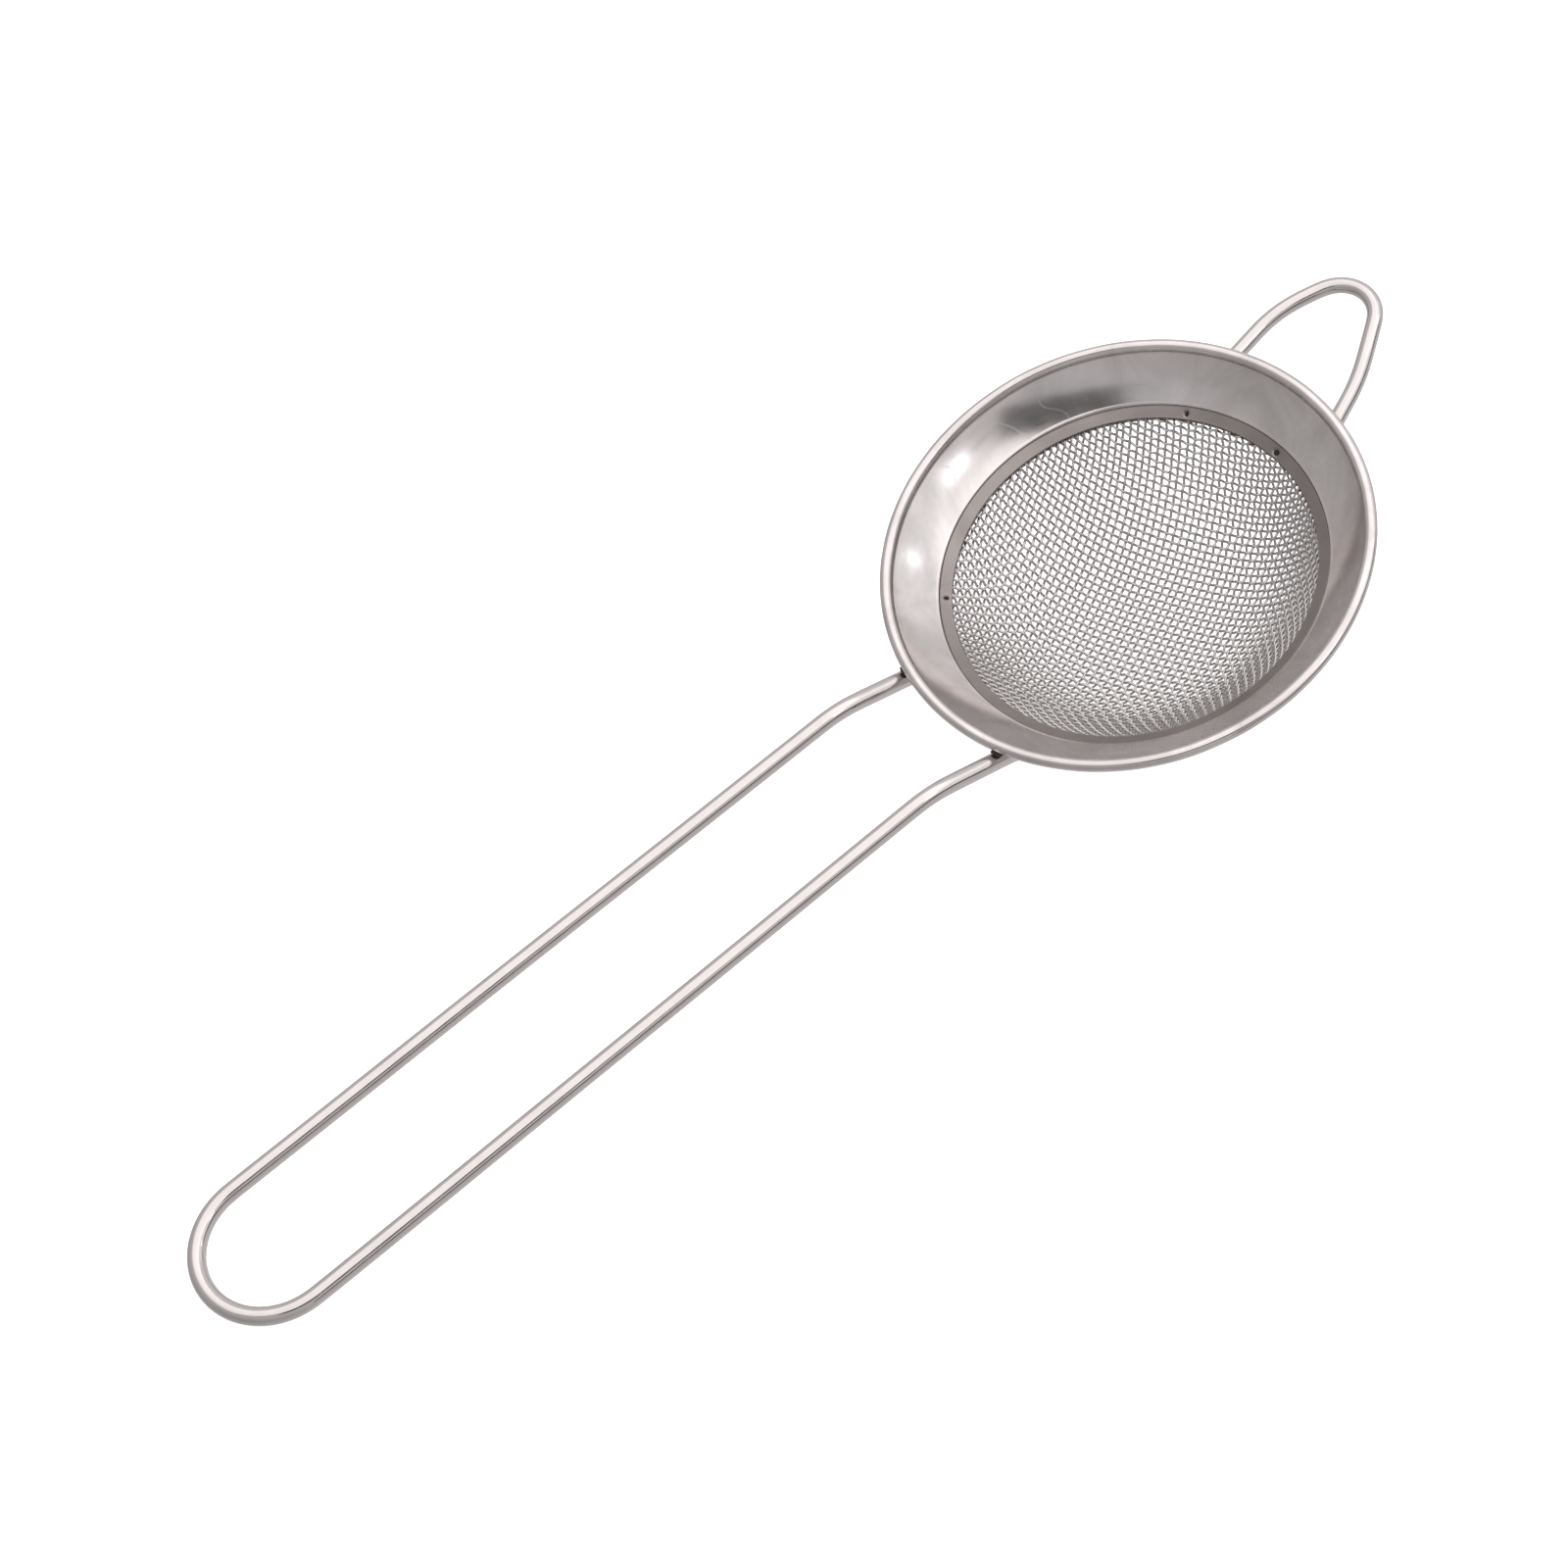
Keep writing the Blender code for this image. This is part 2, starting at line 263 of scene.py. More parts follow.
wire_finish = drawn_wire("drawn_handle_wire", STEEL_TINT, 0.10, 0.000008, 300.0)
weave_finish = drawn_wire("drawn_weave_wire", (0.60, 0.58, 0.575), 0.13, 0.000003, 700.0)

# %% [markdown]
# ## The rim
# The real rim starts as a flat disc. A press forms the flared cone and the short neck, the outer
# edge is curled under into a bead so that nobody cuts a finger, and the inner edge is turned in
# as a shelf for the weave. A turned shape is one closed outline carried round the axis. The cone
# gets a few hundredths of a millimetre of unevenness, because hand-fed pressings are never
# perfectly true and their reflections wander.

# %% Turn an outline about the bowl axis


def turn_outline(outline, steps, wander=None):
    """Points and quads of a closed clockwise (radius, height) outline carried once round."""
    outline = np.array(outline)
    count = len(outline)
    angle = np.linspace(0.0, 2.0 * math.pi, steps, endpoint=False)
    radius = np.tile(outline[:, 0], (steps, 1))
    height = np.tile(outline[:, 1], (steps, 1))
    if wander is not None:
        height = height + wander(angle[:, None], radius, height)
    x = radius * np.cos(angle)[:, None]
    y = radius * np.sin(angle)[:, None]
    points = np.stack([x, y, height], -1).reshape(-1, 3)
    i, j = np.meshgrid(np.arange(steps), np.arange(count), indexing="ij")
    i2 = (i + 1) % steps
    j2 = (j + 1) % count
    faces = np.stack([i * count + j, i * count + j2, i2 * count + j2, i2 * count + j], -1)
    return points, faces.reshape(-1, 4)


def paint_ring_map(obj, steps, count):
    """Store the turn round the bowl and the step along the outline, so a shine knows which way to stretch."""
    mesh = obj.data
    layer = mesh.uv_layers.new(name="ring_map")
    corner = np.empty(len(mesh.loops), dtype=np.int32)
    mesh.loops.foreach_get("vertex_index", corner)
    turn = (corner // count).reshape(-1, 4).astype(float)
    step = (corner % count).reshape(-1, 4).astype(float)
    turn[(turn.max(1) - turn.min(1) > 1.5)[:, None] & (turn < 1.5)] += steps
    step[(step.max(1) - step.min(1) > 1.5)[:, None] & (step < 1.5)] += count
    values = np.stack([turn / steps, step / count], -1).astype(np.float32)
    layer.data.foreach_set("uv", values.reshape(-1))


def arc_points(cx, cz, radius, start, end, count):
    """Points of a circular arc, angles in degrees, both ends included."""
    a = np.radians(np.linspace(start, end, count + 1))
    return list(zip(cx + radius * np.cos(a), cz + radius * np.sin(a)))


# %% The outline of the rim sheet
SHEET = 0.5 * MM
NECK_RADIUS = 29.73 * MM
NECK_TOP = -5.91 * MM
CONE_ANGLE = math.radians(42.15)
CONE_LENGTH = 8.09 * MM
CONE_SAG = 0.22 * MM
SHELF_TOP = -8.35 * MM
SHELF_RADIUS = 28.75 * MM


def cone_outline(count):
    """Upper face of the dished cone from the neck out to the crease beside the bead."""
    t = np.linspace(0.0, 1.0, count + 1)
    sag = CONE_SAG * 4.0 * t * (1.0 - t)
    radius = NECK_RADIUS + CONE_LENGTH * t * math.cos(CONE_ANGLE) + sag * math.sin(CONE_ANGLE)
    height = NECK_TOP + CONE_LENGTH * t * math.sin(CONE_ANGLE) - sag * math.cos(CONE_ANGLE)
    return list(zip(radius, height))


def rim_outline():
    """The whole closed section: curled bead, underside, neck, shelf and the cone's upper face."""
    upper = cone_outline(40)
    across = SHEET * math.sin(CONE_ANGLE)
    down = SHEET * math.cos(CONE_ANGLE)
    under = [(r + across, z - down) for r, z in upper]
    outer = NECK_RADIUS + SHEET
    outline = arc_points(BEAD_CENTRE, 0.0, BEAD_RADIUS, 207.0, -118.0, 44)
    outline += under[-2:1:-1]
    outline += arc_points(outer + 0.25 * MM, NECK_TOP - SHEET * 1.15, 0.25 * MM, 130.0, 180.0, 4)
    outline += arc_points(outer - 0.3 * MM, SHELF_TOP - SHEET + 0.3 * MM, 0.3 * MM, 0.0, -90.0, 5)
    outline += arc_points(SHELF_RADIUS + 0.2 * MM, SHELF_TOP - 0.5 * SHEET, 0.5 * SHEET, -90.0, -270.0, 8)
    outline += arc_points(NECK_RADIUS - 0.2 * MM, SHELF_TOP + 0.2 * MM, 0.2 * MM, -90.0, 0.0, 4)
    outline += arc_points(NECK_RADIUS + 0.35 * MM, NECK_TOP - 0.12 * MM, 0.35 * MM, 180.0, 132.0, 5)
    outline += upper[2:-1]
    return outline


def rim_wander(angle, radius, height):
    """A few hundredths of a millimetre of rise and fall, fading out at the neck."""
    fade = np.clip((radius - NECK_RADIUS) / (RIM_RADIUS - NECK_RADIUS), 0.0, 1.0)
    slow = 0.045 * np.sin(3.0 * angle + 0.6) + 0.030 * np.sin(5.0 * angle + 2.1)
    quick = 0.030 * np.sin(13.0 * angle + 0.8) * np.sin(3.1 * angle + 0.5)
    quick = quick + 0.013 * np.sin(29.0 * angle + 1.7)
    lapped = 0.0065 * np.sin(2.0 * math.pi * radius / (2.1 * MM) + 1.5 * np.sin(2.0 * angle + 0.4))
    lapped = lapped * (0.6 + 0.4 * np.sin(3.0 * angle + 1.0)) * (radius < RIM_RADIUS - 2.2 * MM)
    return MM * fade * (slow + quick + lapped)


RIM_STEPS = 360
points, faces = turn_outline(rim_outline(), RIM_STEPS, rim_wander)
rim = mesh_object("rim_sheet", points, faces, rim_finish)
paint_ring_map(rim, RIM_STEPS, len(points) // RIM_STEPS)
seat(rim, "rim_flange", "rim_flange")
print("rim points:", len(points))

# %% [markdown]
# ## The clamp ring
# A narrow ring is pushed down inside the neck and pinched in a few places, so that it grips the
# cut edge of the weave against the shelf. The pinches show as tiny dark dimples on its face.
# Each dimple is pressed into the ring's mesh as a soft round hollow, and further down a black speck of
# painted shade is added in each one.

# %% Turn the ring and press its dimples
RING_OUTER = 29.70 * MM
RING_INNER = 27.94 * MM
RING_OUTER_TOP = -5.98 * MM
RING_INNER_TOP = -6.95 * MM
RING_BOTTOM = -7.35 * MM
PINCHES = {-3.0: 0.42 * MM, 30.0: 0.20 * MM, 139.0: 0.24 * MM}
PINCH_RADIUS = 28.75 * MM
PINCH_DEPTH = 0.55 * MM


def ring_outline():
    upper = [(RING_INNER + (RING_OUTER - RING_INNER) * t,
              RING_INNER_TOP + (RING_OUTER_TOP - RING_INNER_TOP) * t) for t in np.linspace(0.1, 0.93, 16)]
    outline = upper
    outline += arc_points(RING_OUTER - 0.12 * MM, RING_OUTER_TOP - 0.16 * MM, 0.12 * MM, 80.0, 0.0, 4)
    outline += arc_points(RING_OUTER - 0.12 * MM, RING_BOTTOM + 0.12 * MM, 0.12 * MM, 0.0, -90.0, 4)
    outline += arc_points(RING_INNER + 0.16 * MM, RING_BOTTOM + 0.16 * MM, 0.16 * MM, -90.0, -180.0, 4)
    outline += arc_points(RING_INNER + 0.14 * MM, RING_INNER_TOP - 0.07 * MM, 0.14 * MM, 180.0, 110.0, 4)
    return outline


def ring_wander(angle, radius, height):
    """Pinch dimples on the upper face."""
    drop = np.zeros(np.broadcast(angle, radius).shape)
    upper = height > RING_BOTTOM + 0.45 * MM
    for pinch, width in PINCHES.items():
        turn = (angle - math.radians(pinch) + math.pi) % (2.0 * math.pi) - math.pi
        reach = np.hypot(turn * PINCH_RADIUS / width, (radius - PINCH_RADIUS) / (0.32 * MM))
        drop -= PINCH_DEPTH * np.exp(-reach ** 2) * upper
    return drop


RING_STEPS = 900
points, faces = turn_outline(ring_outline(), RING_STEPS, ring_wander)
ring = mesh_object("clamp_ring_pressed", points, faces, dark_shaded_ring_finish)
paint_ring_map(ring, RING_STEPS, len(points) // RING_STEPS)
seat(ring, "clamp_ring", "clamp_ring")
print("ring points:", len(points), "pinches:", sorted(PINCHES))

# %% [markdown]
# ## The woven bowl
# The bowl is a flat plain-weave cloth of thin wire, pressed into a dome. Wire hardly stretches, so
# the cloth takes up the dome by shearing: along its two main wires the holes stay square, and
# between them they close into diamonds. That is why a strainer's weave looks curved. The net
# below follows the same rule. It lays one straight wire each way across the dome, then finds each
# further crossing as the point that lies one wire spacing from its two neighbours.

# %% The dome and the spacing of its wires
DOME_RADIUS = 27.9 * MM
DOME_TOP = -8.00 * MM
DOME_DEPTH = 17.7 * MM
SPACING = 1.174 * MM
WEAVE_WIRE = 0.205 * MM
WEAVE_TURN = math.radians(22.1)
WEAVE_EDGE = 28.25 * MM
REACH = 34


def dome_height(radius):
    """Height of the dome's middle surface at a radius, in the bowl's own frame."""
    return DOME_TOP - DOME_DEPTH * (1.0 - (radius / DOME_RADIUS) ** 3)


def dome_steepness(radius):
    """How fast the dome rises with radius."""
    return 3.0 * DOME_DEPTH / DOME_RADIUS * (radius / DOME_RADIUS) ** 2


def walk_outward():
    """Radius reached after each whole wire spacing, walking up the dome from its middle."""
    radius = np.linspace(0.0, WEAVE_EDGE * 1.06, 4000)
    steps = np.hypot(1.0, dome_steepness(0.5 * (radius[1:] + radius[:-1]))) * np.diff(radius)
    walked = np.concatenate([[0.0], np.cumsum(steps)])
    return np.interp(np.arange(REACH + 1) * SPACING, walked, radius, right=np.nan)


# %% [markdown]
# Finding the point that lies one spacing from two others is two equations in two unknowns. Newton's
# method solves a whole diagonal of them at once. A point that falls off the edge of the bowl is
# marked as not-a-number, and its wire simply ends there.

# %% Find every crossing of the net
NEWTON_ROUNDS = 9


def lift(flat):
    """Put flat (x, y) points onto the dome."""
    return dome_height(np.hypot(flat[:, 0], flat[:, 1]))


def slope_at(flat):
    """How the dome's height changes in x and in y at flat points."""
    radius = np.hypot(flat[:, 0], flat[:, 1]) + 1e-12
    return flat * (dome_steepness(radius) / radius)[:, None]


def next_crossing(a, b, start):
    """Newton's method for the points on the dome one spacing away from both a and b."""
    za, zb = lift(a), lift(b)
    p = start.copy()
    for _ in range(NEWTON_ROUNDS):
        zp, slope = lift(p), slope_at(p)
        da, db = p - a, p - b
        fa = (da ** 2).sum(1) + (zp - za) ** 2 - SPACING ** 2
        fb = (db ** 2).sum(1) + (zp - zb) ** 2 - SPACING ** 2
        ga = 2.0 * (da + (zp - za)[:, None] * slope)
        gb = 2.0 * (db + (zp - zb)[:, None] * slope)
        det = ga[:, 0] * gb[:, 1] - ga[:, 1] * gb[:, 0]
        det = np.where(np.abs(det) < 1e-14, 1e-14, det)
        move = np.stack([fa * gb[:, 1] - fb * ga[:, 1], ga[:, 0] * fb - gb[:, 0] * fa], -1) / det[:, None]
        size = np.hypot(move[:, 0], move[:, 1])
        p = p - move * np.minimum(1.0, 0.4 * SPACING / np.maximum(size, 1e-15))[:, None]
    lost = (np.abs(fa) > 1e-3 * SPACING ** 2) | (np.hypot(p[:, 0], p[:, 1]) > WEAVE_EDGE * 1.05)
    p[lost] = np.nan
    return p


def lay_net():
    """Crossings as a square array of flat points; empty places outside the bowl are not-a-number."""
    size = 2 * REACH + 1
    net = np.full((size, size, 2), np.nan)
    net[REACH, REACH] = 0.0
    outward = walk_outward()
    for k in range(1, REACH + 1):
        for di, dj, turn in ((1, 0, 0.0), (-1, 0, math.pi), (0, 1, 0.5 * math.pi), (0, -1, -0.5 * math.pi)):
            a = WEAVE_TURN + turn
            net[REACH + di * k, REACH + dj * k] = (outward[k] * math.cos(a), outward[k] * math.sin(a))
    for si in (1, -1):
        for sj in (1, -1):
            for total in range(2, 2 * REACH + 1):
                i = np.arange(max(1, total - REACH), min(REACH, total - 1) + 1)
                j = total - i
                row, col = REACH + si * i, REACH + sj * j
                a, b, c = net[row - si, col], net[row, col - sj], net[row - si, col - sj]
                known = np.isfinite(a).all(1) & np.isfinite(b).all(1) & np.isfinite(c).all(1)
                if known.any():
                    a, b, c = a[known], b[known], c[known]
                    net[row[known], col[known]] = next_crossing(a, b, a + b - c)
    return net


net = lay_net()
inside = np.isfinite(net[..., 0])
print("crossings:", int(inside.sum()), "rows with wire:", int(inside.any(1).sum()))

# %% [markdown]
# Each wire now runs through its row of crossings, rising over one neighbour and dipping under the
# next. A cosine wave with one half turn per crossing gives exactly that, and the two families
# wave in opposite senses, so they always miss each other by one wire thickness. A real loom also
# leaves each wire very slightly out of line, which keeps the pattern from looking printed.

# %% Sweep a round wire along a line of points
AROUND = 8


def smooth_through(points, per_step):
    """Catmull-Rom points through a line of crossings."""
    padded = np.vstack([2 * points[0] - points[1], points, 2 * points[-1] - points[-2]])
    t = np.arange(per_step)[:, None] / per_step
    pieces = []
    for k in range(len(points) - 1):
        p0, p1, p2, p3 = padded[k:k + 4]
        pieces.append(0.5 * (2 * p1 + (p2 - p0) * t + (2 * p0 - 5 * p1 + 4 * p2 - p3) * t ** 2
                             + (3 * p1 - p0 - 3 * p2 + p3) * t ** 3))
    pieces.append(points[-1:])
    return np.vstack(pieces)


def sweep(path, radius, around, side_hint):
    """Ring points along a path; side_hint is a direction that is never along the path."""
    ahead = np.gradient(path, axis=0)
    ahead /= np.linalg.norm(ahead, axis=1)[:, None]
    side = np.cross(ahead, side_hint)
    side /= np.linalg.norm(side, axis=1)[:, None]
    rise = np.cross(side, ahead)
    a = np.linspace(0.0, 2.0 * math.pi, around, endpoint=False)
    radius = np.broadcast_to(radius, (len(path),))[:, None, None]
    around_points = (np.cos(a)[None, :, None] * side[:, None] + np.sin(a)[None, :, None] * rise[:, None])
    return path[:, None] + radius * around_points


def tube_faces(length, around, first):
    i, j = np.meshgrid(np.arange(length - 1), np.arange(around), indexing="ij")
    j2 = (j + 1) % around
    faces = np.stack([i * around + j, (i + 1) * around + j, (i + 1) * around + j2, i * around + j2], -1)
    return faces.reshape(-1, 4) + first


def weave_family(name, rows, wave_sign, seed):
    """All the wires of one direction as a single object."""
    drift = np.random.default_rng(seed)
    all_points, all_faces, all_maps, first = [], [], [], 0
    per_step = 5
    for index in range(rows.shape[0]):
        here = np.isfinite(rows[index, :, 0])
        if here.sum() < 3:
            continue
        columns = np.nonzero(here)[0]
        flat = smooth_through(rows[index, columns], per_step)
        phase = columns[0] + np.arange(len(flat)) / per_step
        sway = drift.normal(0.0, 0.018 * MM) + 0.012 * MM * np.sin(phase * 0.21 + drift.uniform(0.0, 6.0))
        across = np.stack([-np.gradient(flat[:, 1]), np.gradient(flat[:, 0])], -1)
        across /= np.linalg.norm(across, axis=1)[:, None]
        flat = flat + across * sway[:, None]
        radius = np.hypot(flat[:, 0], flat[:, 1])
        keep = radius < WEAVE_EDGE
        if keep.sum() < 8:
            continue
        flat, phase, radius = flat[keep], phase[keep], radius[keep]
        steep = dome_steepness(radius)
        out = flat / (radius[:, None] + 1e-12)
        normal = np.stack([-out[:, 0] * steep, -out[:, 1] * steep, np.ones(len(flat))], -1)
        normal /= np.linalg.norm(normal, axis=1)[:, None]
        wave = wave_sign * WEAVE_WIRE * np.cos(math.pi * (phase + index))
        path = np.column_stack([flat, dome_height(radius)]) + normal * wave[:, None]
        rings = sweep(path, WEAVE_WIRE, AROUND, normal)
        all_points.append(rings.reshape(-1, 3))
        all_faces.append(tube_faces(len(path), AROUND, first))
        walked = np.concatenate([[0.0], np.cumsum(np.linalg.norm(np.diff(path, axis=0), axis=1))])
        all_maps.append((walked / MM + 13.0 * index, len(path)))
        first += rings.shape[0] * AROUND
    points, faces = np.vstack(all_points), np.vstack(all_faces)
    obj = mesh_object(name, points, faces, weave_finish)
    paint_wire_map(obj, np.concatenate([np.repeat(m, AROUND) for m, _ in all_maps]), AROUND)
    print(name, "wires:", len(all_maps), "faces:", len(faces))
    return obj


def paint_wire_map(obj, along, around):
    """Store distance along and turn round the wire, for the finish to stretch its noise with."""
    mesh = obj.data
    layer = mesh.uv_layers.new(name="wire_map")
    corner = np.empty(len(mesh.loops), dtype=np.int32)
    mesh.loops.foreach_get("vertex_index", corner)
    values = np.empty((len(corner), 2), dtype=np.float32)
    values[:, 0] = along[corner]
    turn = (corner % around) / around
    four = turn.reshape(-1, 4)
    seam = (four.max(1) - four.min(1)) > 0.5
    four[seam] = np.where(four[seam] < 0.5, four[seam] + 1.0, four[seam])
    values[:, 1] = four.reshape(-1)
    layer.data.foreach_set("uv", values.reshape(-1))


# %% Weave the bowl
warp = weave_family("weave_warp_wires", net, 1.0, 7)
weft = weave_family("weave_weft_wires", np.swapaxes(net, 0, 1), -1.0, 19)
seat(warp, "woven_bowl", "woven_bowl")
seat(weft, "woven_bowl", "woven_bowl")

# %% [markdown]
# The cut edge of the cloth is folded flat between the ring and the shelf. Only a sliver of it can
# be seen from below, as a crushed and lumpy band, so a turned band with fine lumps is enough.

# %% The crushed edge of the weave
HEM_LEVEL = -7.85 * MM
HEM_INNER = 28.1 * MM
HEM_OUTER = 29.15 * MM
HEM_LUMP = 0.035 * MM


def hem_wander(angle, radius, height):
    """Fine lumps, one for every spacing of the weave round the edge."""
    lumps = np.sin(angle * 2.0 * math.pi * HEM_OUTER / SPACING) * np.sin(radius / SPACING * 9.0)
    return HEM_LUMP * lumps


half = 0.17 * MM
hem_outline = [(r, HEM_LEVEL + half) for r in np.linspace(HEM_INNER + 0.1 * MM, HEM_OUTER - 0.1 * MM, 9)]
hem_outline += arc_points(HEM_OUTER - half, HEM_LEVEL, half, 80.0, -80.0, 5)
hem_outline += [(r, HEM_LEVEL - half) for r in np.linspace(HEM_OUTER - 0.1 * MM, HEM_INNER + 0.1 * MM, 9)]
hem_outline += arc_points(HEM_INNER + half, HEM_LEVEL, half, 260.0, 100.0, 5)
HEM_STEPS = 720
points, faces = turn_outline(hem_outline, HEM_STEPS, hem_wander)
# The hem takes the ring's darkened tint, which is painted shade.
hem = mesh_object("weave_hem", points, faces, dark_shaded_ring_finish)
paint_ring_map(hem, HEM_STEPS, len(points) // HEM_STEPS)
seat(hem, "woven_bowl", "woven_bowl")
print("hem points:", len(points))

# %% [markdown]
# ## The handle and the ear
# Both are cut from round wire and bent cold. A bend made by hand round a peg has no sharp corner:
# it starts early and ends late. Each path is drawn as a few straight runs whose corners are
# rounded, and a many-sided ring is carried along it. The two inner ends run down along the
# underside of the cone, where they are spot welded.

# %% Paths with rounded bends
HANDLE_WIRE = 1.35 * MM
EAR_WIRE = 1.25 * MM
WELD_GAP = 0.3 * MM


def step_toward(start, goal, distance):
    start, goal = np.array(start), np.array(goal)
    return start + (goal - start) * distance / np.linalg.norm(goal - start)


def soften(corners, reach, count):
    """Round each inner corner; reach is how far from it the bend starts on either side."""
    path = [np.array(corners[0])]
    for k in range(1, len(corners) - 1):
        here = np.array(corners[k])
        a = step_toward(here, corners[k - 1], reach[k - 1])
        b = step_toward(here, corners[k + 1], reach[k - 1])
        for t in np.linspace(0.0, 1.0, count + 1):
            path.append((1 - t) ** 2 * a + 2 * t * (1 - t) * here + t ** 2 * b)
    path.append(np.array(corners[-1]))
    return path


def under_cone(x, y, wire_radius):
    """Height at which a wire lies just clear of the cone's underside."""
    drop = (SHEET + CONE_SAG + wire_radius + WELD_GAP) / math.cos(CONE_ANGLE)
    return NECK_TOP + (math.hypot(x, y) - NECK_RADIUS) * math.tan(CONE_ANGLE) - drop


def even_steps(path, step):
    """The same path with points a fixed distance apart."""
    path = np.array(path)
    walked = np.concatenate([[0.0], np.cumsum(np.linalg.norm(np.diff(path, axis=0), axis=1))])
    count = int(walked[-1] / step)
    wanted = np.linspace(0.0, walked[-1], count + 1)
    return np.stack([np.interp(wanted, walked, path[:, k]) for k in range(3)], -1), walked[-1]


def relax(path, times):
    """Average neighbours a few times, which blends straight runs into bends."""
    for _ in range(times):
        path[1:-1] = 0.25 * path[:-2] + 0.5 * path[1:-1] + 0.25 * path[2:]
    return path


# %% Sweep a bent wire with rounded ends
WIRE_SIDES = 28


def bent_wire(name, corners_path, radius, finish, bow):
    """A wire object along a path, its two ends closed by small domes."""
    path, length = even_steps(corners_path, 0.5 * MM)
    path = relax(path, 5)
    t = np.linspace(0.0, 1.0, len(path))
    path[:, 1] += bow(t)
    path[:, 2] += 0.05 * MM * np.sin(9.0 * t * math.pi + 0.4) * np.sin(math.pi * t)
    ends = np.ones(len(path))
    for k, r in enumerate((0.55, 0.86, 0.97)):
        ends[k] = r
        ends[-1 - k] = r
    rings = sweep(path, radius * ends, WIRE_SIDES, np.array([0.06, 0.0, 1.0]))
    points = rings.reshape(-1, 3)
    faces = [tuple(f) for f in tube_faces(len(path), WIRE_SIDES, 0)]
    obj = mesh_object(name, points, faces, finish)
    walked = np.linspace(0.0, length / MM, len(path))
    paint_wire_map(obj, np.repeat(walked, WIRE_SIDES), WIRE_SIDES)
    close_ends(obj, len(path))
    print(name, "length mm:", round(length / MM, 1), "points:", len(points))
    return obj


def close_ends(obj, count):
    """Fill both open ends with one flat many-sided face each."""
    bm = bmesh.new()
    bm.from_mesh(obj.data)
    bm.verts.ensure_lookup_table()
    bm.faces.new([bm.verts[k] for k in range(WIRE_SIDES)])
    last = (count - 1) * WIRE_SIDES
    bm.faces.new([bm.verts[last + k] for k in reversed(range(WIRE_SIDES))])
    bm.normal_update()
    bm.to_mesh(obj.data)
    bm.free()


# %% [markdown]
# The handle is one hairpin of wire: a welded end, a dip under the bead, a kink upward, a long
# straight leg, and the round end that hangs on a hook. The second leg is the first one mirrored.

# %% The handle
HANDLE_HALF_NEAR = 10.6 * MM
HANDLE_HALF_FAR = 10.95 * MM
HANDLE_KINK = (47.6 * MM, 3.15 * MM)
HANDLE_AT_RIM = (36.5 * MM, -2.4 * MM)
HANDLE_RISE = math.radians(6.5)
HANDLE_STRAIGHT = 112.7 * MM
HANDLE_INNER = 30.2 * MM
HANDLE_BEND = 33.4 * MM
HANDLE_BEND_REACHES = (1.4 * MM, 3.4 * MM)
HANDLE_END_STEPS = 60
HANDLE_BOW = 0.16 * MM


def handle_leg(side):
    """One leg from its weld out to where the round end begins."""
    y = side * HANDLE_HALF_NEAR
    slope = (HANDLE_KINK[1] - HANDLE_AT_RIM[1]) / (HANDLE_KINK[0] - HANDLE_AT_RIM[0])
    far_x = HANDLE_KINK[0] + HANDLE_STRAIGHT * math.cos(HANDLE_RISE)
    far_z = HANDLE_KINK[1] + HANDLE_STRAIGHT * math.sin(HANDLE_RISE)
    corners = [
        (-HANDLE_INNER, y, under_cone(HANDLE_INNER, y, HANDLE_WIRE)),
        (-HANDLE_BEND, y, HANDLE_AT_RIM[1] - slope * (HANDLE_AT_RIM[0] - HANDLE_BEND) - 0.12 * MM),
        (-HANDLE_KINK[0], y, HANDLE_KINK[1]),
        (-far_x, side * HANDLE_HALF_FAR, far_z),
    ]
    return soften(corners, HANDLE_BEND_REACHES, 10)


def handle_path():
    left, right = handle_leg(1.0), handle_leg(-1.0)
    cx, _, cz = left[-1]
    loop = []
    for a in np.linspace(0.0, math.pi, HANDLE_END_STEPS)[1:-1]:
        out = HANDLE_HALF_FAR * math.sin(a)
        loop.append(np.array([cx - out * math.cos(HANDLE_RISE), HANDLE_HALF_FAR * math.cos(a),
                              cz + out * math.sin(HANDLE_RISE)]))
    return left + loop + right[::-1]


def handle_bow(t):
    """Hand bending leaves the legs a fraction of a millimetre from straight."""
    return HANDLE_BOW * np.sin(2.0 * math.pi * t) * np.sin(math.pi * t) ** 2


handle = bent_wire("handle_bent_wire", handle_path(), HANDLE_WIRE, wire_finish, handle_bow)
seat(handle, "handle_wire", "handle_wire")

# %% [markdown]
# The ear is a shorter hairpin with a rounder tip. It was bent and welded by eye, so one leg splays
# and the whole ear sits a few degrees off the handle's line. Those small errors are worth keeping.

# %% The ear
EAR_LEVEL = -2.55 * MM
EAR_ROOTS = {"left": 9.35 * MM, "right": -11.6 * MM}
EAR_SHOULDERS = {"left": (47.0 * MM, 9.1 * MM), "right": (43.5 * MM, -9.6 * MM)}
EAR_TIP = (50.6 * MM, 0.5 * MM)
EAR_TIP_RADIUS = 6.0 * MM
EAR_TURN = math.radians(7.0)
EAR_INNER_RADIUS = 32.05 * MM
EAR_BEND_RADIUS = 36.5 * MM


def on_tip(angle):
    """A point of the tip's arc."""
    x = EAR_TIP[0] + EAR_TIP_RADIUS * math.cos(angle)
    y = EAR_TIP[1] + EAR_TIP_RADIUS * math.sin(angle)
    return np.array([x, y, EAR_LEVEL])


def tip_tangent(label):
    """Angle on the tip arc where the straight part of a leg meets it."""
    side = 1.0 if label == "left" else -1.0
    dx, dy = EAR_SHOULDERS[label][0] - EAR_TIP[0], EAR_SHOULDERS[label][1] - EAR_TIP[1]
    return math.atan2(dy, dx) - side * math.acos(EAR_TIP_RADIUS / math.hypot(dx, dy))


